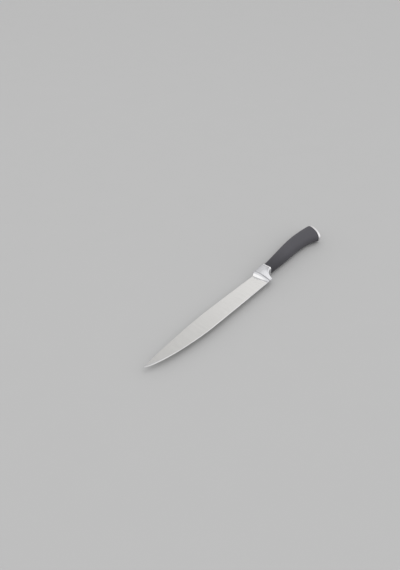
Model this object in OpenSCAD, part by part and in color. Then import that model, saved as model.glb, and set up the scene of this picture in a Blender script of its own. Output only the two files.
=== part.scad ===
// Carving knife with a moulded handle, lying on its side.
// X runs from the point to the butt, Y from the edge to the spine, Z through the blade's thickness.
// Construction heights are measured from the blade's centre line, and lengths from its point.

/* [Blade] */
// Length of the blade from its point to the bolster
blade_len = 193.6; // [170:0.1:230]
// Depth of the straight cutting edge below the centre line
edge_drop = 16.6; // [15:0.1:19]
// Length of the curved belly of the edge, from the point
belly_len = 95; // [70:1:120]
// Height of the spine where it stands highest
spine_peak = 6.1; // [5:0.1:7]
// Distance of that highest place from the point
spine_peak_at = 105; // [80:1:130]
// Height of the spine at the bolster
spine_heel = 4.5; // [4:0.1:5]
// Thickness of the spine at the bolster
spine_t = 2.2; // [1.9:0.05:2.6]
// Thickness above the cutting bevel at the bolster
edge_t = 0.75; // [0.6:0.05:1]
// Thickness of the blade at its point
tip_t = 1.3; // [1.1:0.05:1.6]
// Angle of each cutting bevel to the centre plane
bevel_angle = 12; // [9:1:18]
// Width left across the very edge
edge_flat = 0.08; // [0.05:0.01:0.15]

/* [Tang] */
// Depth of the blade's root inside the bolster
root_len = 5.4; // [3:0.1:8]
// Height of the root above the centre line
root_top = 3; // [2.5:0.1:3.4]
// Depth of the root below the centre line
root_low = 12.5; // [8:0.1:13]
// How much thinner than the blade the root is on each flank
root_step = 0.1; // [0.05:0.05:0.2]
// Thickness of the shank behind the root
shank_t = 1.6; // [1.3:0.05:1.7]
// Length of shank held in the tang bar's fork
lap_len = 20; // [14:0.5:26]
// Height of the shank and of the tang bar
bar_h = 6; // [5:0.1:6.4]
// Thickness of the tang bar
bar_t = 4.4; // [3.6:0.1:5]
// Height of the bar's centre above the blade's centre line
bar_y = 0.4; // [0:0.05:0.6]
// Diameter of the two rivets through the lap
rivet_d = 3; // [2:0.1:3.6]
// Distance between the two rivets
rivet_pitch = 9; // [6:0.5:12]
// Diameter of the threaded end of the bar
stud_d = 5; // [4:0.1:5]
// Length of the threaded end
stud_len = 11.5; // [10.5:0.1:14]
// Clearance between the threaded end and the cap's spigot
stud_gap = 2.7; // [1:0.1:4]

/* [Bolster] */
// Length of the bolster from the blade to its rear lip
bolster_len = 22; // [20:0.1:28]
// Half of the thickness across the front crest
crest_half = 6.2; // [5.8:0.1:7.2]
// Half of the thickness across the rear lip
lip_half = 6.8; // [6.2:0.1:7.6]
// Depth of the hollow behind the crest
dish = 0.9; // [0.5:0.05:1.1]
// Length of that hollow down to its deepest place
dish_len = 3; // [2:0.1:4]
// Step from the end of the flank up to the rear lip
lip_step = 0.2; // [0.1:0.05:0.4]
// Length of the cove from the blade up to the crest
cove_len = 3.2; // [2:0.1:4]
// Height of the bolster's back at the crest
crest_top = 6.6; // [6:0.1:7]
// Height of the back at the rear lip
lip_top = 6.3; // [6:0.1:7]
// Depth of the neck behind the heel
neck_low = 6.9; // [6.4:0.1:7.4]
// Radius of the heel's rear corner
heel_round = 0.8; // [0.5:0.1:1.5]
// Thickness of the heel above the edge
heel_t = 1.9; // [1.5:0.1:2.6]
// Thickness of the bolster's nose over each flank of the blade
nose_t = 0.3; // [0.2:0.05:0.5]
// Radius along the bolster's back
back_r = 2.4; // [1.6:0.1:3]
// Radius along the neck's finger side
neck_r = 2.2; // [1.6:0.1:3]
// Width of the rear lip
lip_w = 1; // [0.7:0.1:1.6]
// Rounding of the lip's rear rim
lip_rim = 0.25; // [0.1:0.05:0.4]
// Height above the centre line where the flanks start to thin towards the heel
taper_top = 3.5; // [1:0.1:4.5]

/* [Grip] */
// Length of the handle from the front seal to the butt
handle_len = 114.1; // [106:0.5:126]
// Height of the grip's back at the front
grip_front_top = 6.5; // [6:0.1:7]
// Depth of the grip at the front
grip_front_low = 6.5; // [6:0.1:7]
// Height of the hump of the back
hump_top = 13.7; // [12:0.1:16]
// Distance of the hump behind the front
hump_at = 78; // [66:1:90]
// Height of the back at the butt
butt_top = 11.5; // [10.5:0.1:13]
// Depth of the hooked butt
butt_low = 15.4; // [13:0.1:18]
// Distance behind the front where the hook starts
hook_at = 53; // [44:1:60]
// Fullness of the finger side ahead of the hook
belly_swell = 0.5; // [0.1:0.1:1.2]
// Half of the thickness at the front
front_half = 6.6; // [6.2:0.1:7.4]
// Half of the thickness at the fullest place
grip_half = 8; // [7.2:0.1:9]
// Half of the thickness at the butt
butt_half = 7.5; // [7:0.1:8.4]
// Squareness of the section, where 2 is an ellipse
squareness = 2.5; // [2.2:0.1:3.4]
// Thickness of the soft shell over the core
shell_t = 1.8; // [1.4:0.1:2.2]
// Diameter of the dowels between the core halves
dowel_d = 3; // [2:0.1:3.4]
// Length of the dowels
dowel_len = 8; // [6:0.1:9]

/* [Butt] */
// Radius of the curve that the butt follows
butt_r = 160; // [120:5:240]
// Lean of that curve where it meets the back of the grip
butt_lean = 19.8; // [15:0.1:25]
// Thickness of the end cap
cap_t = 3.6; // [2.4:0.1:4]
// Radius of the cap's outer rim
cap_rim = 0.9; // [0.5:0.1:1.2]
// Diameter of the bore for the nut and the cap's spigot
nut_bore_d = 10; // [9.8:0.1:10.4]
// Length of the cap's spigot in that bore
spigot_len = 20; // [12:0.5:22]
// Thickness of the core's web under the washer
web_t = 3.6; // [2.5:0.1:5]
// Thickness of the washer
washer_t = 1.2; // [0.8:0.1:1.6]
// Thickness of the nut
nut_t = 4; // [3:0.1:4.5]
// Width of the nut across its flats
nut_af = 8; // [7:0.1:8]

/* [Fits] */
// Thickness of the seals in front of the grip and under the cap
seal_t = 0.5; // [0.3:0.05:0.8]
// How far the seals stay inside the grip's outline
seal_inset = 0.35; // [0.2:0.05:0.6]
// Clearance round pieces that slide into each other
fit_gap = 0.08; // [0.04:0.01:0.15]

/* [Hidden] */
$fn = 48;

// Shapes of the blade's outline
belly_power = 1.7;
point_power = 1.65;
spine_power = 1.8;
heel_power = 1.2;
belly_steps = 22;
spine_steps = 16;
far = 500;

// Places along the knife
joint_slant = 0.1;
crest_slant = 0.17;
root_end = blade_len + root_len;
lip_x = blade_len + bolster_len;
grip_x = lip_x + seal_t;
butt_x = grip_x + handle_len;
shank_end = grip_x + lap_len;
rivet_x = grip_x + (lap_len - rivet_pitch) / 2;

// Bolster details
chin_r = edge_drop - neck_low - heel_round;
chin_x = lip_x - 1.4;
heel_x = chin_x - chin_r;
crest_x = blade_len + cove_len;
lip_ramp = 0.5;
taper_power = 1.6;
cove_power = 1.35;
mid_steps = 10;

// Steps of the grip and of the core inside it
grip_steps = 26;
core_steps = 9;
core_count = 8;
bond_gap = 0.04;
// Crown of the cap's end face, and how far inside its outline the two crowned rings lie
dome = 0.5;
crown_rings = [[0.6, 3], [1, 5.5]];

// Places of the dowels, behind the front of the grip
dowel_1 = [hump_at * 0.53, 6.8];
dowel_2 = [hump_at * 1.18, 9];

function lerp(a, b, t) = a + (b - a) * t;
function clamp(t) = min(max(t, 0), 1);
function smooth(t) = let(c = clamp(t)) c * c * (3 - 2 * c);

// Outline of the blade
function edge_y(x) = x >= belly_len ? -edge_drop :
    -edge_drop * pow(1 - pow(1 - x / belly_len, belly_power), 1 / point_power);
function spine_y(x) = x <= spine_peak_at ? spine_peak * (1 - pow(1 - x / spine_peak_at, spine_power)) :
    lerp(spine_peak, spine_heel, pow((x - spine_peak_at) / (blade_len - spine_peak_at), heel_power));
function joint_x(y) = blade_len - joint_slant * y;

// Thickness of the blade, which is flat ground and tapers to the edge and to the point
taper_y = (spine_t - edge_t) / (spine_heel + edge_drop);
taper_x = (spine_t - taper_y * spine_heel - tip_t) / blade_len;
function blade_half(x, y) = (spine_t + taper_y * (y - spine_heel) + taper_x * (x - blade_len)) / 2;

// Points of the cutting edge, closer together towards the point
edge_points = concat(
    [for (i = [0:belly_steps]) let(x = belly_len * pow(i / belly_steps, 1.6)) [x, edge_y(x)]],
    [[joint_x(-edge_drop), -edge_drop]]);
spine_points = [for (i = [1:spine_steps]) let(x = joint_x(spine_heel) * pow(i / spine_steps, 1.3))
    [x, i < spine_steps ? spine_y(x) : spine_heel]];

// Outline of the handle
butt_centre = [butt_x - butt_r * cos(butt_lean), butt_top + butt_r * sin(butt_lean)];
function butt_curve(y) = butt_centre[0] + sqrt(butt_r * butt_r - pow(y - butt_centre[1], 2));

// The bar's length is what the handle leaves in front of the cap, its spigot and the threaded end
spigot_x = butt_curve(bar_y) - cap_t - spigot_len;
bar_end = spigot_x - stud_gap - stud_len;
bar_len = bar_end - grip_x;
web_x = bar_end + fit_gap;
bore_x = web_x + web_t;
function grip_top(d) = d < hump_at ?
    lerp(grip_front_top, hump_top, pow(sin(90 * clamp(d / hump_at)), 1.5)) :
    lerp(hump_top, butt_top, pow((d - hump_at) / (handle_len - hump_at), 2));
low_len = butt_curve(-butt_low) - grip_x;
function grip_low(d) = -grip_front_low - belly_swell * sin(180 * clamp(d / hook_at)) -
    (butt_low - grip_front_low) * pow(max(d - hook_at, 0) / (low_len - hook_at), 2.6);
function grip_z(t) = lerp(front_half, butt_half, t) +
    (grip_half - (front_half + butt_half) / 2) * pow(sin(180 * clamp(t)), 1.3);

// A ring is a closed line of points, over the +Z side from the back to the low side and then back under it
function ring(half) = concat(half, [for (i = [len(half) - 1:-1:0]) [half[i][0], half[i][1], -half[i][2]]]);

// Station t runs from 0 at the grip's front to 1 at a curve that lies a depth of back inside the butt.
// The stations swing round from square at the front to the butt's curve at the back.
function grip_point(t, back, inset, a) =
    let(along = t * (1 - back / handle_len),
        top = grip_top(along * handle_len) - inset,
        low = grip_low(along * low_len) + inset,
        z = grip_z(along) - inset,
        y = (top + low) / 2 + (top - low) / 2 * sign(cos(a)) * pow(abs(cos(a)), 2 / squareness))
    [grip_x + t * (butt_curve(y) - back - grip_x), y, z * pow(sin(a), 2 / squareness)];
function grip_ring(t, back, inset = 0, count = 16) =
    ring([for (i = [0:count - 1]) grip_point(t, back, inset, (i + 0.5) * 180 / count)]);
function moved(points, x) = [for (p = points) p + [x, 0, 0]];

// Rings of the bolster. Station s is a place along the centre line, and each station leans with the crest.
function lean(s) = s <= crest_x ? lerp(joint_slant, crest_slant, (s - blade_len) / cove_len) :
    crest_slant * (1 - smooth((s - crest_x) / (heel_x - heel_round - crest_x)));
function cove(s) = pow(clamp((s - blade_len) / cove_len), cove_power);
function back_y(s) = s <= crest_x ? lerp(spine_heel + nose_t, crest_top, cove(s)) :
    lerp(crest_top, lip_top, (s - crest_x) / (lip_x - crest_x));
function low_y(x) = x >= chin_x ? -neck_low :
    x >= heel_x ? -neck_low - chin_r + sqrt(max(chin_r * chin_r - pow(chin_x - x, 2), 0)) :
    x >= heel_x - heel_round ?
        -edge_drop + heel_round - sqrt(max(pow(heel_round, 2) - pow(x - heel_x + heel_round, 2), 0)) :
    -edge_drop;
function dished(s) = min(clamp((lip_x - lip_w - s) / lip_ramp),
    1 - pow(1 - clamp((s - crest_x) / dish_len), 2)) *
    lerp(dish, lip_step, clamp((s - crest_x) / (lip_x - lip_w - crest_x)));
function flank_z(s) = lerp(crest_half, lip_half, clamp((s - crest_x) / (lip_x - crest_x))) - dished(s);
function heel_part(s, y) = (1 - smooth((s - heel_x) / chin_r)) *
    pow(clamp((taper_top - y) / (taper_top + edge_drop)), taper_power);
function solid_z(s, y) = lerp(flank_z(s), heel_t / 2, heel_part(s, y));
function bolster_z(s, y) = s >= crest_x ? solid_z(s, y) :
    lerp(blade_half(blade_len, y) + nose_t, solid_z(crest_x, y), cove(s));
function bolster_ring(s, round_off = 0) =
    let(top = back_y(s) - round_off,
        low = low_y(s + lean(s) * edge_drop) + round_off,
        r1 = min(back_r, 0.45 * bolster_z(s, top)),
        r2 = min(neck_r, 0.8 * bolster_z(s, low)),
        z1 = bolster_z(s, top - r1) - round_off,
        z2 = bolster_z(s, low + r2) - round_off,
        half = concat(
            [for (a = [0:30:90]) [top - r1 + r1 * cos(a), z1 - r1 + r1 * sin(a)]],
            [for (i = [1:mid_steps - 1]) let(y = lerp(top - r1, low + r2, i / mid_steps))
                [y, bolster_z(s, y) - round_off]],
            [for (a = [90:-30:0]) [low + r2 - r2 * cos(a), z2 - r2 + r2 * sin(a)]]))
    ring([for (p = half) [s - lean(s) * p[0], p[0], p[1]]]);
bolster_stations = concat(
    [for (i = [0:6]) crest_x - cove_len * pow(1 - i / 6, 1.4)],
    [for (i = [1:5]) crest_x + dish_len * pow(i / 5, 1.3)],
    [for (i = [1:3]) lerp(crest_x + dish_len, heel_x - heel_round, i / 3)],
    [for (a = [40, 70]) heel_x - heel_round * (1 - sin(a))],
    [for (a = [0:9:90]) chin_x - chin_r * cos(a)],
    [lip_x - lip_w, lip_x - lip_w * 0.4]);

// Solid between rings of equal length, closed by strips across each end
module loft(rings) {
    n = len(rings[0]);
    m = n / 2;
    last = len(rings) - 1;
    points = [for (r = rings) each r];
    sides = [for (j = [0:last - 1], i = [0:n - 1]) let(k = (i + 1) % n, a = j * n, b = (j + 1) * n)
        each [[a + i, b + k, a + k], [a + i, b + i, b + k]]];
    ends = [for (i = [0:m - 2]) let(b = last * n)
        each [[i, n - 2 - i, n - 1 - i], [i, i + 1, n - 2 - i],
              [b + i, b + n - 2 - i, b + i + 1], [b + i, b + n - 1 - i, b + n - 2 - i]]];
    polyhedron(points, concat(sides, ends), convexity = 6);
}

// Block that fills everything under a plane through z, rising by slope towards +Y after a turn about Z
module under_plane(at, turn, slope) {
    translate(at)
        rotate([0, 0, turn])
            rotate([atan(slope), 0, 0])
                translate([-far / 2, -far / 2, -far])
                    cube(far);
}

// Space between two mirrored planes
module between_planes(at, turn, slope) {
    intersection() {
        under_plane(at, turn, slope);
        mirror([0, 0, 1])
            under_plane(at, turn, slope);
    }
}

// Space between the blade's two ground flanks, grown by a clearance
module between_flanks(grow = 0) {
    between_planes([0, 0, blade_half(0, 0) + grow], atan2(taper_y, taper_x) - 90,
        norm([taper_x, taper_y]) / 2);
}

module bar_box(x0, x1, t, grow = 0) {
    translate([x0, bar_y - bar_h / 2 - grow, -t / 2 - grow])
        cube([x1 - x0, bar_h + 2 * grow, t + 2 * grow]);
}

module along_x(x0, x1, r) {
    translate([x0, bar_y, 0])
        rotate([0, 90, 0])
            cylinder(h = x1 - x0, r = r);
}

module blade_outline() {
    polygon(concat(edge_points, [for (i = [spine_steps - 1:-1:0]) spine_points[i]]));
}

// The root starts a little way inside the blade, so that the two are one piece
module root_outline() {
    polygon([[joint_x(-root_low) - root_step, -root_low], [root_end, -root_low],
        [root_end, root_top], [joint_x(root_top) - root_step, root_top]]);
}

// A shape of the blade's outline, as high as the space for its thickness
module blade_slab() {
    translate([0, 0, -spine_peak])
        linear_extrude(2 * spine_peak)
            children();
}

module bar_slot(x0, x1, t) {
    translate([x0, bar_y - bar_h, -t / 2])
        cube([x1 - x0, 2 * bar_h, t]);
}

module rivets(r, length) {
    for (i = [0, 1])
        translate([rivet_x + i * rivet_pitch, bar_y, -length / 2])
            cylinder(h = length, r = r);
}

module dowels(r, length) {
    for (d = [dowel_1, dowel_2])
        translate([grip_x + d[0], d[1], -length / 2])
            cylinder(h = length, r = r);
}

module core_loft(inset, over = 0) {
    back = cap_t + seal_t;
    rings = [for (i = [0:core_steps]) grip_ring(i / core_steps, back, inset, core_count)];
    loft(over == 0 ? rings :
        concat([moved(rings[0], -over)], rings, [moved(rings[core_steps], over)]));
}

// Puts the knife's centre line and point into the part's frame, over the middle of the space that it fills
module place() {
    translate([-butt_x / 2, (edge_drop - hump_top) / 2, max(grip_half, lip_half)])
        children();
}

// Flat ground blade, with the root and shank that go through the bolster
module blade() {
    color([0.8, 0.8, 0.79])
    place()
    difference() {
        union() {
            intersection() {
                blade_slab()
                    blade_outline();
                between_flanks();
                intersection_for (i = [0:len(edge_points) - 2])
                    let(run = edge_points[i + 1] - edge_points[i])
                        between_planes(
                            [edge_points[i][0], edge_points[i][1], edge_flat / 2],
                            atan2(run[1], run[0]), tan(bevel_angle));
            }
            intersection() {
                blade_slab()
                    root_outline();
                between_flanks(-root_step);
            }
            bar_box(root_end - root_len / 2, shank_end, shank_t);
        }
        rivets(rivet_d / 2 + fit_gap / 2, 2 * bar_t);
    }
}

// Steel bolster with its cove, crest, dished flanks, rear lip and heel
module bolster() {
    color([0.86, 0.86, 0.87])
    place()
    difference() {
        loft(concat([for (s = bolster_stations) bolster_ring(s)], [bolster_ring(lip_x, lip_rim)]));
        intersection() {
            translate([blade_len - root_len, -root_low - fit_gap, -crest_half])
                cube([2 * root_len + fit_gap, root_low + root_top + 2 * fit_gap, 2 * crest_half]);
            between_flanks(fit_gap - root_step);
        }
        bar_box(blade_len, lip_x + 1, shank_t, fit_gap);
    }
}

// Thin dark seal between the bolster's lip and the grip
module front_seal() {
    color([0.06, 0.06, 0.06])
    place()
    difference() {
        loft([moved(grip_ring(0, 0, seal_inset), -seal_t), grip_ring(0, 0, seal_inset)]);
        bar_box(lip_x - 1, grip_x + 1, shank_t, fit_gap);
    }
}

// Steel bar with a fork for the shank and a threaded end
module tang_bar() {
    color([0.62, 0.62, 0.62])
    place()
    difference() {
        union() {
            bar_box(grip_x, grip_x + bar_len, bar_t);
            along_x(bar_end - 1, bar_end + stud_len, stud_d / 2);
        }
        bar_slot(grip_x - 1, shank_end + fit_gap, shank_t + 2 * fit_gap);
        rivets(rivet_d / 2 + fit_gap / 2, 2 * bar_t);
    }
}

// Two rivets through the fork and the shank
module tang_rivets() {
    color([0.7, 0.68, 0.62])
    place()
    rivets(rivet_d / 2, bar_t);
}

// One half of the hard core, with its share of the slot, the nut's bore and the dowel holes
module core_half(side) {
    color([0.2, 0.2, 0.21])
    place()
    mirror([0, 0, side])
    difference() {
        intersection() {
            core_loft(shell_t);
            translate([grip_x - 1, -far / 2, bond_gap / 2])
                cube(far);
        }
        bar_box(grip_x - 1, bar_end + fit_gap, bar_t, fit_gap);
        along_x(bar_end, bore_x + 1, stud_d / 2 + fit_gap);
        along_x(bore_x, butt_x + 1, nut_bore_d / 2);
        dowels(dowel_d / 2 + fit_gap / 2, dowel_len + 2 * fit_gap);
    }
}

module core_left() {
    core_half(0);
}

module core_right() {
    core_half(1);
}

// Dowels that line up the two core halves
module core_dowels() {
    color([0.75, 0.75, 0.72])
    place()
    dowels(dowel_d / 2, dowel_len);
}

// Soft shell moulded over the core
module grip_shell() {
    color([0.33, 0.33, 0.35])
    place()
    difference() {
        loft([for (i = [0:grip_steps]) grip_ring(i / grip_steps, cap_t + seal_t)]);
        core_loft(shell_t - bond_gap, 1);
    }
}

// Washer under the nut
module tang_washer() {
    color([0.7, 0.7, 0.7])
    place()
    difference() {
        along_x(bore_x, bore_x + washer_t, nut_bore_d / 2 - fit_gap);
        along_x(bore_x - 1, bore_x + washer_t + 1, stud_d / 2 + fit_gap);
    }
}

// Nut that draws the blade, the bolster and the handle together
module tang_nut() {
    color([0.75, 0.72, 0.6])
    place()
    difference() {
        translate([bore_x + washer_t, bar_y, 0])
            rotate([0, 90, 0])
                cylinder(h = nut_t, r = nut_af / 2 / cos(30), $fn = 6);
        along_x(bore_x, bore_x + washer_t + nut_t + 1, stud_d / 2 + fit_gap / 2);
    }
}

// Thin dark seal under the end cap
module rear_seal() {
    color([0.06, 0.06, 0.06])
    place()
    difference() {
        loft([grip_ring(1, cap_t + seal_t, seal_inset), grip_ring(1, cap_t, seal_inset)]);
        along_x(butt_x - far / 4, butt_x + 1, nut_bore_d / 2);
    }
}

// Polished end cap with the spigot that holds it in the core
module end_cap() {
    color([0.93, 0.93, 0.93])
    place() {
        loft(concat(
            [grip_ring(1, cap_t), grip_ring(1, cap_rim)],
            [for (a = [30:30:90]) grip_ring(1, cap_rim * (1 - sin(a)), cap_rim * (1 - cos(a)))],
            [for (c = crown_rings) grip_ring(1, -dome * c[0], c[1])]));
        intersection() {
            along_x(spigot_x, butt_x, nut_bore_d / 2 - fit_gap);
            translate([butt_centre[0] - cap_t / 2, butt_centre[1], -nut_bore_d])
                cylinder(h = 2 * nut_bore_d, r = butt_r, $fn = 720);
        }
    }
}

blade();
bolster();
front_seal();
tang_bar();
tang_rivets();
core_left();
core_right();
core_dowels();
grip_shell();
tang_washer();
tang_nut();
rear_seal();
end_cap();
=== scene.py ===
import math

import bmesh
import bpy
from mathutils import Matrix, Vector


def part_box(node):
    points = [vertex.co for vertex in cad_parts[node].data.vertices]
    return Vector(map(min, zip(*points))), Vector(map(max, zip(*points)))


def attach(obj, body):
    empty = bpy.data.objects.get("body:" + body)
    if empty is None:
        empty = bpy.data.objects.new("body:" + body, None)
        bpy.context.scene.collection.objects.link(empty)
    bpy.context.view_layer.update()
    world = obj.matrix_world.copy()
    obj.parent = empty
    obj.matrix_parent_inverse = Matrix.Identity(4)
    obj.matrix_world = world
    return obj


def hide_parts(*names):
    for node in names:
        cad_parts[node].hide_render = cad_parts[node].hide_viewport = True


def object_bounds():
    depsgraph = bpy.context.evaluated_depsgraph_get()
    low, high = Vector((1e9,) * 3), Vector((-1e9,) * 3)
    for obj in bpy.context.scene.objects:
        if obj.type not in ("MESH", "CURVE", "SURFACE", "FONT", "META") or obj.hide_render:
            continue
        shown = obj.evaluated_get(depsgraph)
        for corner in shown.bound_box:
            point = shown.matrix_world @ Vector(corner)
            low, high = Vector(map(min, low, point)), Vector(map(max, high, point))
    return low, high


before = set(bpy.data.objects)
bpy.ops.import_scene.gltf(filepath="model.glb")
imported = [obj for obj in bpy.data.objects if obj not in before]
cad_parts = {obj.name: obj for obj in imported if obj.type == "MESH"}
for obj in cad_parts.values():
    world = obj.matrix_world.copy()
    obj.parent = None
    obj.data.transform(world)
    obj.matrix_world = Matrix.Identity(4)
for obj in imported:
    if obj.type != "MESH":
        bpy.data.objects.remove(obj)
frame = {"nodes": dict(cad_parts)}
cad_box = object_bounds()
nodes = frame["nodes"]

# Blade: one bar of stainless steel, ground flat from the spine to the edge and brushed across.
# Each side of the edge has a narrow bevel, honed smooth and lightened by a painted highlight. Behind
# the blade the same steel runs on as a root and a flat shank, which are let into the bolster and riveted
# in the handle.
MM = 0.001
BLADE_LEN = 193.6
EDGE_DROP = 16.6
BELLY_LEN = 95
BELLY_POWER = 1.7
POINT_POWER = 1.65
SPINE_PEAK = 6.1
SPINE_PEAK_AT = 105
SPINE_HEEL = 4.5
SPINE_POWER = 1.8
HEEL_POWER = 1.2
SPINE_T = 2.2
EDGE_T = 0.75
TIP_T = 1.3
EDGE_FLAT = 0.08
BEVEL_SLOPE = math.tan(math.radians(12))
SPINE_EASE = 0.16
SHOULDER_EASE = 0.06
SHOULDER_W = 0.7
HONED_W = 0.9
JOINT_SLANT = 0.1
JOINT_RUN = 20
TAPER_Y = (SPINE_T - EDGE_T) / (SPINE_HEEL + EDGE_DROP)
TAPER_X = (SPINE_T - TAPER_Y * SPINE_HEEL - TIP_T) / BLADE_LEN
ROOT_LEN = 5.4
ROOT_TOP = 3
ROOT_LOW = 12.5
ROOT_STEP = 0.1
SHANK_T = 1.6
BAR_H = 6
BAR_Y = 0.4
RIVET_R = 1.54

blade_low, blade_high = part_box("blade")
point = Vector((blade_low.x, blade_low.y + EDGE_DROP * MM, (blade_low.z + blade_high.z) / 2))


def placed(x, y, z):
    """A place along, above and beside the blade's centre line, in millimetres from its point"""
    return point + Vector((x, y, z)) * MM


def lerp(a, b, t):
    return a + (b - a) * t


def clamp(t):
    return min(max(t, 0), 1)


def smooth(t):
    c = clamp(t)
    return c * c * (3 - 2 * c)


def edge_y(x):
    if x >= BELLY_LEN:
        return -EDGE_DROP
    return -EDGE_DROP * (1 - (1 - x / BELLY_LEN) ** BELLY_POWER) ** (1 / POINT_POWER)


def spine_y(x):
    if x <= SPINE_PEAK_AT:
        return SPINE_PEAK * (1 - (1 - x / SPINE_PEAK_AT) ** SPINE_POWER)
    behind = clamp((x - SPINE_PEAK_AT) / (BLADE_LEN - SPINE_PEAK_AT))
    return lerp(SPINE_PEAK, SPINE_HEEL, behind ** HEEL_POWER)


def blade_half(x, y):
    """Half the thickness of the flat ground flanks"""
    return (SPINE_T + TAPER_Y * (y - SPINE_HEEL) + TAPER_X * (x - BLADE_LEN)) / 2


edge_stations = [BELLY_LEN * (i / 150) ** 1.6 for i in range(151)]
edge_line = [(x, edge_y(x)) for x in edge_stations]
edge_normals = []
for (x0, y0), (x1, y1) in zip(edge_line, edge_line[1:]):
    run = math.hypot(x1 - x0, y1 - y0)
    edge_normals.append((x0, y0, (y0 - y1) / run, (x1 - x0) / run))


def from_edge(x, y):
    """Distance from the cutting edge, square to it"""
    return max(min((x - x0) * nx + (y - y0) * ny for x0, y0, nx, ny in edge_normals), 0)


def bevel_half(x, y):
    """Half the thickness of the cutting bevel, if it ran on upwards"""
    return EDGE_FLAT / 2 + BEVEL_SLOPE * from_edge(x, y)


def half_at(x, y):
    """Half the thickness, with a soft ground shoulder where the flank meets the bevel"""
    flank, bevel = blade_half(x, y), bevel_half(x, y)
    return (flank + bevel - math.hypot(flank - bevel, SHOULDER_EASE)) / 2


def shoulder_y(x):
    """Height where the cutting bevel meets the flat flank"""
    low, high = edge_y(x), spine_y(x)
    for _ in range(30):
        y = (low + high) / 2
        if bevel_half(x, y) < blade_half(x, y):
            low = y
        else:
            high = y
    return low


def mirrored(half):
    """A closed ring from the points of its upper half, which run from the back to the low side"""
    return half + [(x, y, -z) for x, y, z in reversed(half)]


def blade_ring(x):
    """A ring round the blade, which leans with the joint where it comes near the bolster"""
    top, low, shoulder = spine_y(x), edge_y(x), shoulder_y(x)
    ease = min(SPINE_EASE, (top - low) / 6)
    soft = min(SHOULDER_W, (top - shoulder) / 3, (shoulder - low) / 2)
    heights = [top, top - ease * 0.3, top - ease]
    heights += [lerp(top - ease, shoulder + soft, i / 10) for i in range(1, 11)]
    heights += [lerp(shoulder + soft, shoulder - soft, i / 6) for i in range(1, 7)]
    honed = min(HONED_W, (shoulder - soft - low) * 0.8)
    heights += [(shoulder - soft + low + honed) / 2, low + honed, low]
    shift = smooth((x - BLADE_LEN + JOINT_RUN) / JOINT_RUN) * JOINT_SLANT
    half = []
    for i, y in enumerate(heights):
        inward = (ease, ease * 0.35, 0)[i] if i < 3 else 0
        half.append((x - shift * y, y, max(half_at(x, y) - inward, 0.02)))
    return mirrored(half)


def skin(name, rings, closed=False):
    """One smooth skin through rings of equal length. It either meets itself or is closed by strips"""
    mesh = bmesh.new()
    rows = [[mesh.verts.new(placed(*p)) for p in ring] for ring in rings]
    count = len(rows[0])
    pairs = list(zip(rows, rows[1:] + rows[:1] if closed else rows[1:]))
    for a, b in pairs:
        for i in range(count):
            k = (i + 1) % count
            mesh.faces.new((a[i], a[k], b[k], b[i]))
    if not closed:
        for row in (rows[0], rows[-1]):
            for i in range(count // 2 - 1):
                mesh.faces.new((row[i], row[i + 1], row[count - 2 - i], row[count - 1 - i]))
    bmesh.ops.recalc_face_normals(mesh, faces=mesh.faces)
    data = bpy.data.meshes.new(name)
    mesh.to_mesh(data)
    mesh.free()
    data.shade_smooth()
    data.set_sharp_from_angle(angle=math.radians(24))
    piece = bpy.data.objects.new(name, data)
    bpy.context.collection.objects.link(piece)
    return piece


class Value:
    """A socket of a node tree, on which sums can be written as plain arithmetic"""

    def __init__(self, nodes, socket):
        self.nodes = nodes
        self.socket = socket

    def maths(self, operation, *values):
        return self.nodes.add("ShaderNodeMath", {"operation": operation}, dict(enumerate(values)))

    def __add__(self, other):
        return self.maths("ADD", self, other)

    __radd__ = __add__

    def __sub__(self, other):
        return self.maths("SUBTRACT", self, other)

    def __rsub__(self, other):
        return self.maths("SUBTRACT", other, self)

    def __mul__(self, other):
        return self.maths("MULTIPLY", self, other)

    __rmul__ = __mul__


class Nodes:
    """The node tree of a finish or of the room, which is built up node by node"""

    def __init__(self, owner):
        owner.use_nodes = True
        self.owner = owner
        self.tree = owner.node_tree

    def add(self, kind, settings, sockets, out=0):
        node = self.tree.nodes.new(kind)
        for key, value in settings.items():
            setattr(node, key, value)
        for key, value in sockets.items():
            if isinstance(value, Value):
                self.tree.links.new(value.socket, node.inputs[key])
            else:
                node.inputs[key].default_value = value
        return Value(self, node.outputs[out])

    def ramp(self, place, direction, start, end):
        """Smoothly from 0 to 1 as a place or a view moves from start to end along a direction"""
        sockets = {0: place, 1: tuple(direction)}
        along = self.add("ShaderNodeVectorMath", {"operation": "DOT_PRODUCT"}, sockets, "Value")
        sockets = {"Value": along, "From Min": start, "From Max": end}
        return self.add("ShaderNodeMapRange", {"interpolation_type": "SMOOTHSTEP"}, sockets)


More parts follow.
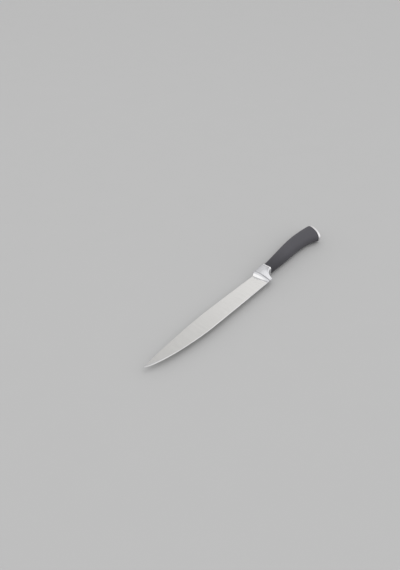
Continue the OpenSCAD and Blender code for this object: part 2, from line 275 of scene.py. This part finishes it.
class Finish(Nodes):
    """A material with one surface shader"""

    def __init__(self, name, colour, metallic, roughness, **steady):
        super().__init__(bpy.data.materials.new(name))
        self.shader = self.tree.nodes["Principled BSDF"]
        self.shader.inputs["Base Color"].default_value = (*colour, 1)
        self.shader.inputs["Metallic"].default_value = metallic
        self.shader.inputs["Roughness"].default_value = roughness
        for socket, value in steady.items():
            self.shader.inputs[socket.replace("_", " ")].default_value = value
        self.place = self.add("ShaderNodeTexCoord", {}, {}, "Object")

    def zone(self, direction, start, end):
        """Smoothly from 0 to 1 between two places, in millimetres from the blade's point"""
        origin = Vector(direction).dot(point)
        return self.ramp(self.place, direction, origin + start * MM, origin + end * MM)

    def noise(self, stretch, detail=2.0, rough=0.5):
        """Grey noise around 0.5. The stretch is how many features lie in a millimetre of each axis"""
        scale = tuple(s / MM for s in stretch)
        spot = self.add("ShaderNodeVectorMath", {"operation": "MULTIPLY"}, {0: self.place, 1: scale})
        sockets = {"Vector": spot, "Scale": 1.0, "Detail": detail, "Roughness": rough}
        return self.add("ShaderNodeTexNoise", {}, sockets)

    def blend(self, factor, a, b):
        """A colour between a and b"""
        return self.add("ShaderNodeMix", {"data_type": "RGBA"}, {0: factor, 6: a, 7: b}, 2)

    def feed(self, socket, value):
        self.tree.links.new(value.socket, self.shader.inputs[socket])

    def raise_by(self, height, distance):
        """Raises and lowers the surface by a height of 0 to 1 times a distance in millimetres"""
        sockets = {"Strength": 1.0, "Distance": distance * MM, "Height": height}
        self.feed("Normal", self.add("ShaderNodeBump", {}, sockets, "Normal"))


def steel(name, colour, roughness, lines, streaks, depth):
    """Ground steel. Fine lines lie in faint broader streaks, and handling has left it a little uneven"""
    finish = Finish(name, colour, 1.0, roughness)
    line = finish.noise(lines, 4.0, 0.65)
    streak = finish.noise(streaks, 2.0, 0.5)
    rub = finish.noise((0.3, 0.3, 0.3), 3.0, 0.6)
    darker = tuple(c * 0.86 for c in colour)
    lighter = tuple(min(c * 1.14, 1) for c in colour)
    finish.tone = finish.blend(line * 0.65 + streak * 0.3 + rub * 0.05, (*darker, 1), (*lighter, 1))
    finish.dullness = line * 0.12 + rub * 0.05 + (roughness - 0.085)
    finish.feed("Base Color", finish.tone)
    finish.feed("Roughness", finish.dullness)
    finish.raise_by(line, depth)
    return finish


blade_stations = [BELLY_LEN * ((i + 0.5) / 90) ** 1.5 for i in range(90)]
blade_stations += [lerp(BELLY_LEN, BLADE_LEN, i / 30) for i in range(31)]
blade = skin("blade_ground", [blade_ring(x) for x in blade_stations])
blade_steel = steel("blade_steel", (0.7, 0.692, 0.678), 0.23, (4.5, 0.07, 2.0), (0.6, 0.02, 1.0), 0.0024)
edge_steel = steel("blade_edge_steel", (0.65, 0.65, 0.65), 0.2, (6.0, 1.2, 2.0), (0.5, 0.2, 1.0), 0.0008)
# Painted highlight: the honed bevel's colour is lighter than the flank's, on top of its real smoother
# finish.
honed_steel = steel("honed_steel", (0.9, 0.9, 0.9), 0.18, (5.0, 1.5, 2.0), (0.5, 0.5, 1.0), 0.0004)
# Painted light: the blade's colour is lightened in a band just in front of the bolster, where the
# bolster's reflection and shadow darken the steel.
joint_painted_light = blade_steel.zone((1, JOINT_SLANT, 0), BLADE_LEN - 4.2, BLADE_LEN - 0.8)
joint_painted_light *= blade_steel.zone((0, 1, 0), -15, -5)
blade_steel.feed("Base Color", blade_steel.blend(joint_painted_light, blade_steel.tone, (0.83, 0.825, 0.82, 1)))
for finish in (blade_steel, edge_steel, honed_steel):
    blade.data.materials.append(finish.owner)
for face in blade.data.polygons:
    x, y, z = (face.center - point) / MM
    if from_edge(x, y) < HONED_W * 0.6:
        face.material_index = 2
    elif bevel_half(x, y) < blade_half(x, y):
        face.material_index = 1
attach(blade, "root")
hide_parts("blade")


def plate(name, outline, holes, thickness):
    """A flat plate between two faces, with an outline and round holes through it"""
    curve = bpy.data.curves.new(name, "CURVE")
    curve.dimensions = "2D"
    curve.fill_mode = "BOTH"
    curve.extrude = thickness / 2 * MM
    loops = [outline]
    for x, y, r in holes:
        turn = [i * math.tau / 32 for i in range(32)]
        loops.append([(x + r * math.cos(a), y + r * math.sin(a)) for a in turn])
    for loop in loops:
        spline = curve.splines.new("POLY")
        spline.points.add(len(loop) - 1)
        spline.use_cyclic_u = True
        for spot, (x, y) in zip(spline.points, loop):
            spot.co = (x * MM, y * MM, 0, 1)
    shape = bpy.data.objects.new(name, curve)
    data = bpy.data.meshes.new_from_object(shape)
    bpy.data.objects.remove(shape)
    mesh = bmesh.new()
    mesh.from_mesh(data)
    bmesh.ops.remove_doubles(mesh, verts=mesh.verts, dist=0.002 * MM)
    bmesh.ops.translate(mesh, verts=mesh.verts, vec=point)
    mesh.to_mesh(data)
    mesh.free()
    piece = bpy.data.objects.new(name, data)
    bpy.context.collection.objects.link(piece)
    return piece


bar_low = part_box("tang_bar")[0]
LAP_LEN = 20
RIVET_PITCH = 9
fork_x = (bar_low.x - point.x) / MM
root_x = BLADE_LEN + ROOT_LEN
rivet_x = fork_x + (LAP_LEN - RIVET_PITCH) / 2
shank_low, shank_high = BAR_Y - BAR_H / 2, BAR_Y + BAR_H / 2
shank_front, shank_end = root_x - ROOT_LEN / 2, fork_x + LAP_LEN
shank_outline = [(shank_front, shank_low), (shank_end, shank_low)]
shank_outline += [(shank_end, shank_high), (shank_front, shank_high)]
shank_holes = [(rivet_x, BAR_Y, RIVET_R), (rivet_x + RIVET_PITCH, BAR_Y, RIVET_R)]
shank = plate("blade_shank", shank_outline, shank_holes, SHANK_T)
root_rings = []
for x in (BLADE_LEN - 2, BLADE_LEN + 1, root_x):
    heights = [lerp(ROOT_TOP, -ROOT_LOW, i / 6) for i in range(7)]
    root_rings.append(mirrored([(x, y, blade_half(x, y) - ROOT_STEP) for y in heights]))
root = skin("blade_root", root_rings)
for piece in (shank, root):
    piece.data.materials.append(blade_steel.owner)
    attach(piece, "root")
    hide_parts("blade")

# Bolster: a forged steel collar that closes round the root of the blade. Its nose sweeps up in a
# polished hollow to a raised crest. Behind the crest the brushed flanks are dished up to a narrow
# polished lip, and on the edge side it runs down into a thin rounded heel behind the neck.
BOLSTER_LEN = 22
CREST_HALF = 6.2
LIP_HALF = 6.8
DISH = 0.9
DISH_LEN = 2.7
LIP_STEP = 0.2
COVE_LEN = 3.2
COVE_POWER = 1.35
CREST_TOP = 6.6
LIP_TOP = 6.3
NECK_LOW = 6.9
HEEL_ROUND = 0.8
HEEL_T = 1.9
NOSE_T = 0.3
BACK_R = 2.4
NECK_R = 2.2
LIP_W = 1
LIP_RIM = 0.25
TAPER_TOP = -1
TAPER_POWER = 1.3
CREST_BEND = 1.1
BEND_TOP = -8
CREST_SLANT = 0.17
POLISH_SLANT = 0.13
LIP_RAMP = 0.5
RIDGE_R = 0.24
lip_x = BLADE_LEN + BOLSTER_LEN
chin_r = EDGE_DROP - NECK_LOW - HEEL_ROUND
chin_x = lip_x - 1.4
heel_x = chin_x - chin_r
crest_x = BLADE_LEN + COVE_LEN


def straighten(s):
    """From 1 at the crest down to 0 at the front of the heel, where the rings stand upright"""
    return 1 - smooth((s - crest_x) / (heel_x - HEEL_ROUND - crest_x))


def lean(s):
    if s <= crest_x:
        return lerp(JOINT_SLANT, CREST_SLANT, (s - BLADE_LEN) / COVE_LEN)
    return CREST_SLANT * straighten(s)


def along(s, y):
    """Where a point at height y lies along the knife. Towards the heel the crest bends to the blade"""
    bend = CREST_BEND * smooth((s - BLADE_LEN) / COVE_LEN) * straighten(s)
    return s - lean(s) * y - bend * clamp((BEND_TOP - y) / (BEND_TOP + EDGE_DROP)) ** 2


def cove(s):
    """Rise of the hollow nose, from 0 at the joint to 1 at the crest"""
    return clamp((s - BLADE_LEN) / COVE_LEN) ** COVE_POWER


def back_y(s):
    if s <= crest_x:
        return lerp(SPINE_HEEL + NOSE_T, CREST_TOP, cove(s))
    return lerp(CREST_TOP, LIP_TOP, (s - crest_x) / (lip_x - crest_x))


def low_y(x):
    if x >= chin_x:
        return -NECK_LOW
    if x >= heel_x:
        return -NECK_LOW - chin_r + math.sqrt(max(chin_r ** 2 - (chin_x - x) ** 2, 0))
    if x >= heel_x - HEEL_ROUND:
        run = x - heel_x + HEEL_ROUND
        return -EDGE_DROP + HEEL_ROUND - math.sqrt(max(HEEL_ROUND ** 2 - run ** 2, 0))
    return -EDGE_DROP


def dished(s):
    """Depth of the hollow in the flanks, which falls away behind the crest and ends at the lip"""
    fall = clamp((s - crest_x) / DISH_LEN)
    rise = clamp((lip_x - LIP_W - s) / LIP_RAMP)
    return min(fall, rise) * lerp(DISH, LIP_STEP, clamp((s - crest_x) / (lip_x - LIP_W - crest_x)))


def solid_z(s, y):
    """Half the thickness from the crest to the lip, thinned towards the heel"""
    flank = lerp(CREST_HALF, LIP_HALF, clamp((s - crest_x) / (lip_x - crest_x)))
    thin = clamp((TAPER_TOP - y) / (TAPER_TOP + EDGE_DROP)) ** TAPER_POWER
    thin *= 1 - smooth((s - heel_x) / chin_r)
    full = lerp(flank, HEEL_T / 2, thin)
    return full - min(dished(s), full - HEEL_T / 2)


def bolster_z(s, y):
    if s >= crest_x:
        return solid_z(s, y)
    return lerp(blade_half(BLADE_LEN, y) + NOSE_T, solid_z(crest_x, y), cove(s))


def bolster_half(s, inset=0):
    """The upper half of a ring round the bolster, with its back and its low side rounded"""
    top = back_y(s) - inset
    foot = low_y(s + lean(s) * EDGE_DROP) + inset
    r1 = min(BACK_R, 0.45 * bolster_z(s, top))
    r2 = min(NECK_R, 0.8 * bolster_z(s, foot))
    z1 = bolster_z(s, top - r1) - inset
    z2 = bolster_z(s, foot + r2) - inset
    turn = [math.radians(a) for a in range(0, 91, 10)]
    half = [(top - r1 + r1 * math.cos(a), z1 - r1 + r1 * math.sin(a)) for a in turn]
    for i in range(1, 24):
        y = lerp(top - r1, foot + r2, i / 24)
        half.append((y, bolster_z(s, y) - inset))
    half += [(foot + r2 - r2 * math.cos(a), z2 - r2 + r2 * math.sin(a)) for a in reversed(turn)]
    return [(along(s, y), y, z) for y, z in half]


def eased_half(s):
    """The outline at a station, with the crest and the creases rounded along the knife"""
    reach = min(RIDGE_R, s - BLADE_LEN, lip_x - LIP_RIM - s)
    near = [bolster_half(s + reach * k / 2) for k in range(-2, 3)]
    return [tuple(sum(p[axis] for p in spot) / 5 for axis in range(3)) for spot in zip(*near)]


stations = [lerp(BLADE_LEN, crest_x - 0.4, i / 18) for i in range(18)]
stations += [lerp(crest_x - 0.32, crest_x + 0.32, i / 10) for i in range(11)]
stations += [lerp(crest_x + 0.45, crest_x + DISH_LEN, i / 12) for i in range(13)]
stations += [lerp(crest_x + DISH_LEN + 0.5, heel_x - HEEL_ROUND, i / 8) for i in range(9)]
stations += [heel_x - HEEL_ROUND * (1 - math.sin(math.radians(a))) for a in (15, 30, 50, 70)]
stations += [chin_x - chin_r * math.cos(math.radians(a)) for a in range(0, 81, 4)]
neck_x = chin_x - chin_r * math.cos(math.radians(82))
stations += [lerp(neck_x, lip_x - LIP_RIM, i / 16) for i in range(17)]
bolster_rings = [mirrored(eased_half(s)) for s in stations]
for degrees in (22, 45, 67, 90):
    a = math.radians(degrees)
    ring = bolster_half(lip_x - LIP_RIM * (1 - math.sin(a)), LIP_RIM * (1 - math.cos(a)))
    bolster_rings.append(mirrored(ring))
bolster = skin("bolster_forged", bolster_rings)
bolster_grey = (0.64, 0.64, 0.66)
bolster_steel = steel("bolster_steel", bolster_grey, 0.25, (0.12, 4.5, 3.0), (0.04, 0.7, 0.6), 0.0022)
polished_at = (1, POLISH_SLANT, 0)
buffed = bolster_steel.zone(polished_at, BLADE_LEN - 0.2, BLADE_LEN + 0.3)
buffed *= 1 - bolster_steel.zone(polished_at, BLADE_LEN + 1.5, BLADE_LEN + 2.6)
buffed *= bolster_steel.zone((0, 1, 0), -17, -4)
buffed += bolster_steel.zone((1, 0, 0), lip_x - 1.9, lip_x - 1.2)
# Painted shade: the steel is darkened in the crease just behind the crest, in the groove in front of the
# lip, and towards the back of the flanks, where shade falls.
bolster_painted_shade = bolster_steel.zone(polished_at, crest_x - 0.3, crest_x + 0.2) * 0.8
bolster_painted_shade *= 1 - bolster_steel.zone(polished_at, crest_x + 0.8, crest_x + 2.2)
bolster_painted_shade *= bolster_steel.zone((0, -1, 0), -8, 12)
groove = bolster_steel.zone((1, 0, 0), lip_x - 3, lip_x - 2.2)
groove *= 1 - bolster_steel.zone((1, 0, 0), lip_x - 2, lip_x - 1.4)
bolster_painted_shade += groove * 0.2 + bolster_steel.zone((0, 1, 0), 0, 6) * 0.22
shaded_ground_tone = bolster_steel.blend(bolster_painted_shade, bolster_steel.tone, (0.3, 0.3, 0.32, 1))
bolster_steel.feed("Base Color", bolster_steel.blend(buffed, shaded_ground_tone, (0.87, 0.865, 0.87, 1)))
bolster_steel.feed("Roughness", bolster_steel.dullness * (1 - buffed) + buffed * 0.12)
bolster.data.materials.append(bolster_steel.owner)
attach(bolster, "root")
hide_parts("bolster")

# Front seal: a thin black rubber washer that lies between the bolster's lip and the grip. It stays
# a little inside both, so that it shows as a fine dark line all round the neck.
seal_rubber = Finish("seal_rubber", (0.012, 0.012, 0.013), 0.0, 0.5, Specular_IOR_Level=0.35)
rubber_mottle = seal_rubber.noise((1.5, 1.5, 1.5), 3.0, 0.6)
seal_rubber.feed("Roughness", rubber_mottle * 0.25 + 0.42)
seal_rubber.raise_by(rubber_mottle, 0.01)


def refinish(name, finish):
    """Gives a part that keeps its CAD shape its real finish"""
    node = nodes[name]
    if not node.material_slots:
        node.data.materials.append(finish.owner)
    for place in node.material_slots:
        place.material = finish.owner


refinish("front_seal", seal_rubber)

# Tang: a machined steel bar whose fork takes the blade's shank, held by two rivets. Its threaded
# end passes through the core and carries the washer and the nut that draw the handle together.
tang_steel = steel("tang_steel", (0.55, 0.55, 0.55), 0.42, (3.0, 0.2, 3.0), (0.3, 0.1, 0.3), 0.006)
rivet_steel = steel("rivet_steel", (0.62, 0.6, 0.57), 0.36, (2.0, 2.0, 0.2), (0.5, 0.5, 0.1), 0.004)
plated_steel = steel("plated_steel", (0.7, 0.66, 0.55), 0.3, (0.4, 3.0, 3.0), (0.1, 0.4, 0.4), 0.003)
refinish("tang_bar", tang_steel)
refinish("tang_rivets", rivet_steel)
refinish("tang_washer", plated_steel)
refinish("tang_nut", plated_steel)

# Core: two hard moulded halves of black plastic, which close round the tang bar. Two steel dowels
# line them up before the soft grip is moulded over both.
core_plastic = Finish("core_plastic", (0.03, 0.03, 0.032), 0.0, 0.45)
flow = core_plastic.noise((0.08, 0.5, 0.5), 3.0, 0.5)
core_tone = core_plastic.blend(flow, (0.024, 0.024, 0.026, 1), (0.04, 0.04, 0.043, 1))
core_plastic.feed("Base Color", core_tone)
core_plastic.feed("Roughness", flow * 0.2 + 0.36)
core_plastic.raise_by(core_plastic.noise((4.0, 4.0, 4.0), 2.0, 0.5), 0.01)
refinish("core_left", core_plastic)
refinish("core_right", core_plastic)
refinish("core_dowels", rivet_steel)

# Grip: a soft shell of slate grey elastomer, moulded over the core to a fine matt surface. It rises
# to a hump at the back and hooks down at the butt, and the mould's two halves leave a fine line
# round it. Both ends have a small radius against the seals.
HANDLE_LEN = 114.1
GRIP_FRONT_TOP = 6.5
GRIP_FRONT_LOW = 6.5
HUMP_TOP = 13.7
HUMP_AT = 78
HUMP_POWER = 1.5
BUTT_TOP = 11.5
BUTT_LOW = 15.4
HOOK_AT = 53
HOOK_POWER = 2.6
BELLY_SWELL = 0.5
FRONT_HALF = 6.6
GRIP_HALF = 8
BUTT_HALF = 7.5
SIDE_POWER = 1.3
SQUARENESS = 2.5
SHELL_T = 1.76
SEAL_T = 0.5
CAP_T = 3.6
BUTT_R = 160
BUTT_LEAN = math.radians(19.8)
GRIP_RIM = 0.5
SKIN_IN = 0.05
MOULD_LINE = (0.05, 0.12)
grip_x = lip_x + SEAL_T
butt_x = grip_x + HANDLE_LEN
butt_centre = (butt_x - BUTT_R * math.cos(BUTT_LEAN), BUTT_TOP + BUTT_R * math.sin(BUTT_LEAN))


def butt_curve(y):
    return butt_centre[0] + math.sqrt(BUTT_R ** 2 - (y - butt_centre[1]) ** 2)


low_len = butt_curve(-BUTT_LOW) - grip_x


def grip_top(d):
    if d < HUMP_AT:
        return lerp(GRIP_FRONT_TOP, HUMP_TOP, math.sin(math.pi / 2 * clamp(d / HUMP_AT)) ** HUMP_POWER)
    return lerp(HUMP_TOP, BUTT_TOP, ((d - HUMP_AT) / (HANDLE_LEN - HUMP_AT)) ** 2)


def grip_low(d):
    swell = BELLY_SWELL * math.sin(math.pi * clamp(d / HOOK_AT))
    hook = (BUTT_LOW - GRIP_FRONT_LOW) * (max(d - HOOK_AT, 0) / (low_len - HOOK_AT)) ** HOOK_POWER
    return -GRIP_FRONT_LOW - swell - hook


def grip_z(t):
    middle = GRIP_HALF - (FRONT_HALF + BUTT_HALF) / 2
    return lerp(FRONT_HALF, BUTT_HALF, t) + middle * math.sin(math.pi * clamp(t)) ** SIDE_POWER


def grip_ring(t, back, inset=0.0, shift=0.0, count=48, groove=None):
    """A ring round the handle. t runs from its front to a curve a depth of back inside the butt"""
    part = t * (1 - back / HANDLE_LEN)
    top = grip_top(part * HANDLE_LEN) - inset - SKIN_IN
    low = grip_low(part * low_len) + inset + SKIN_IN
    side = grip_z(part) - inset - SKIN_IN
    half = []
    for i in range(count):
        a = (i + 0.5) * math.pi / count
        bulge = math.copysign(abs(math.cos(a)) ** (2 / SQUARENESS), math.cos(a))
        y = (top + low) / 2 + (top - low) / 2 * bulge
        half.append((y, side * math.sin(a) ** (2 / SQUARENESS)))
    if groove:
        depth, width = groove
        half = [(top - depth, 0.02), (top, width)] + half + [(low, width), (low + depth, 0.02)]
    return mirrored([(grip_x + t * (butt_curve(y) - back - grip_x) + shift, y, z) for y, z in half])


def rounded(radius, steps):
    """Insets and setbacks round a quarter turn, from the end face to the side"""
    turn = [math.pi / 2 * i / steps for i in range(steps)]
    return [(radius * (1 - math.sin(a)), radius * (1 - math.cos(a))) for a in turn]


cap_face = CAP_T + SEAL_T
rim = rounded(GRIP_RIM, 4)
start = GRIP_RIM / HANDLE_LEN
grip_rings = [grip_ring(0, cap_face, inset, ahead, groove=MOULD_LINE) for inset, ahead in rim]
grip_rings += [grip_ring(lerp(start, 1 - start, i / 96), cap_face, groove=MOULD_LINE) for i in range(97)]
grip_rings += [grip_ring(1, cap_face, inset, -ahead, groove=MOULD_LINE) for inset, ahead in rim[::-1]]
grip_rings += [grip_ring(1 - i / 24, cap_face, SHELL_T, groove=(0, MOULD_LINE[1])) for i in range(25)]
grip = skin("grip_moulded", grip_rings, closed=True)
slate = (0.07, 0.0686, 0.077)
grip_soft = Finish("grip_soft", slate, 0.0, 0.52, Specular_IOR_Level=0.1, Sheen_Weight=0.02)
grain = grip_soft.noise((5.5, 5.5, 5.5), 3.0, 0.6)
handled = grip_soft.noise((0.05, 0.09, 0.09), 3.0, 0.5)
# Painted light: the grip's colour grows paler from its front back towards the middle, where more light
# falls; the grain and handled patches add a little real mottling.
rear_painted_light = grip_soft.zone((1, 0, 0), grip_x - 5, grip_x + 50)
mottle_and_painted_light = grain * 0.15 + handled * 0.15 + rear_painted_light * 0.7
grip_tone = grip_soft.blend(mottle_and_painted_light, (0.0445, 0.0436, 0.049, 1), (0.085, 0.0833, 0.0935, 1))
grip_soft.feed("Base Color", grip_tone)
grip_soft.feed("Roughness", handled * 0.1 + grain * 0.1 + 0.42)
grip_soft.raise_by(grain, 0.014)
grip.data.materials.append(grip_soft.owner)
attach(grip, "root")
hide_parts("grip_shell")

# Rear seal: the same black rubber as in front, cut to the slanted end of the handle. The cap
# presses it flat, and it shows as a fine dark line.
refinish("rear_seal", seal_rubber)

# End cap: a plate of stainless steel that follows the slanted butt. Its rim is rounded, its face
# is slightly crowned and it is polished all over. A spigot behind it is pressed into the core.
CAP_RIM = 0.95
CAP_FRONT_RIM = 0.12
DOME = 0.44
CROWN_TO = 6.2
SPIGOT_LEN = 20
SPIGOT_R = 4.92
SPIGOT_RIM = 0.4
cap_rings = [grip_ring(1, CAP_T - ahead, inset) for inset, ahead in rounded(CAP_FRONT_RIM, 3)]
cap_rings += [grip_ring(1, lerp(CAP_T - CAP_FRONT_RIM, CAP_RIM, i / 4)) for i in range(5)]
for i in range(1, 9):
    a = math.pi / 2 * i / 8
    cap_rings.append(grip_ring(1, CAP_RIM * (1 - math.sin(a)), CAP_RIM * (1 - math.cos(a))))
for i in range(1, 13):
    across = i / 12
    crown = DOME * (1 - (1 - across) ** 2)
    cap_rings.append(grip_ring(1, -crown, lerp(CAP_RIM, CROWN_TO, across)))
cap = skin("end_cap_polished", cap_rings)
cap_steel = Finish("cap_steel", (0.74, 0.73, 0.74), 1.0, 0.36)
polish = cap_steel.noise((0.4, 2.5, 2.5), 4.0, 0.6)
haze = cap_steel.noise((0.12, 0.12, 0.12), 2.0, 0.5)
cap_steel.feed("Base Color", cap_steel.blend(polish, (0.7, 0.69, 0.7, 1), (0.78, 0.77, 0.78, 1)))
cap_steel.feed("Roughness", polish * 0.06 + haze * 0.06 + 0.3)
cap_steel.raise_by(polish, 0.0006)
cap.data.materials.append(cap_steel.owner)
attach(cap, "root")
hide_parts("end_cap")

spigot_end = butt_curve(BAR_Y) - CAP_T
spigot_turn = [(i + 0.5) * math.pi / 24 for i in range(24)]
spigot_rings = []
for x, r in (
    (spigot_end - SPIGOT_LEN, SPIGOT_R - SPIGOT_RIM),
    (spigot_end - SPIGOT_LEN + SPIGOT_RIM, SPIGOT_R),
    (spigot_end + CAP_T / 3, SPIGOT_R),
):
    spigot_rings.append(mirrored([(x, BAR_Y + r * math.cos(a), r * math.sin(a)) for a in spigot_turn]))
spigot = skin("end_cap_spigot", spigot_rings)
spigot.data.materials.append(tang_steel.owner)
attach(spigot, "root")
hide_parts("end_cap")

# Studio: a plain light grey floor under a soft room. The room is bright overhead and to the left, and
# falls off towards the back right, and one large soft lamp helps to give the knife its shadow.
FLOOR_HALF = 20
FLOOR_GAP = 0.05
sheet = bmesh.new()
bmesh.ops.create_grid(sheet, x_segments=1, y_segments=1, size=FLOOR_HALF)
floor_mesh = bpy.data.meshes.new("floor")
sheet.to_mesh(floor_mesh)
sheet.free()
floor = bpy.data.objects.new("floor", floor_mesh)
bpy.context.collection.objects.link(floor)
floor.location.z = cad_box[0].z - FLOOR_GAP * MM
paper = Finish("floor_paper", (0.45, 0.45, 0.45), 0.0, 0.9, Specular_IOR_Level=0.1)
fibre = paper.noise((0.02, 0.02, 0.02), 4.0, 0.6)
paper.feed("Base Color", paper.blend(fibre, (0.445, 0.445, 0.445, 1), (0.455, 0.455, 0.455, 1)))
floor.data.materials.append(paper.owner)

LAMP_AT = Vector((-0.3, -0.2, 2.0))
lamp = bpy.data.lights.new("soft_lamp", "AREA")
lamp.size = 1.4
lamp.energy = 4
lamp_body = bpy.data.objects.new("soft_lamp", lamp)
lamp_body.location = LAMP_AT
lamp_body.rotation_euler = LAMP_AT.to_track_quat("Z", "Y").to_euler()
lamp_body.visible_camera = False
lamp_body.visible_glossy = False
bpy.context.collection.objects.link(lamp_body)

room = Nodes(bpy.data.worlds.new("room"))
bpy.context.scene.world = room.owner
view = room.add("ShaderNodeTexCoord", {}, {}, "Generated")
light = room.ramp(view, (-0.35, 0.1, 0.93), -0.6, 0.3) * 0.36 + 0.72
light += room.ramp(view, (0.4, -0.53, 0.75), 0.76, 0.98) * 0.26
light -= room.ramp(view, (0.22, 0.48, 0.85), 0.87, 1.0) * 0.47
light -= room.ramp(view, (0.75, 0.35, -0.56), 0.38, 0.68) * 0.38
wall = room.tree.nodes["Background"]
wall.inputs["Color"].default_value = (1, 1, 1, 1)
room.tree.links.new(light.socket, wall.inputs["Strength"])

# Camera: it stands in front of the knife's point and above it, at the photograph's distance and
# angle, and its axes are those that were worked out from the photograph.
CAMERA_AT = (-265.56, -312.87, 443.96)
CAMERA_LOOK = Vector((0.57896, 0.51018, -0.63603)).normalized()
CAMERA_RIGHT = Vector((0.65658, -0.75422, -0.00731))
lens = bpy.data.cameras.new("camera")
lens.lens = 36.36
lens.sensor_width = 36
camera = bpy.data.objects.new("camera", lens)
bpy.context.collection.objects.link(camera)
camera_right = (CAMERA_RIGHT - CAMERA_RIGHT.dot(CAMERA_LOOK) * CAMERA_LOOK).normalized()
camera_up = camera_right.cross(CAMERA_LOOK)
facing = Matrix((camera_right, camera_up, -CAMERA_LOOK)).transposed()
camera.matrix_world = Matrix.Translation(placed(*CAMERA_AT)) @ facing.to_4x4()
bpy.context.scene.camera = camera
bpy.context.scene.view_settings.view_transform = "Standard"
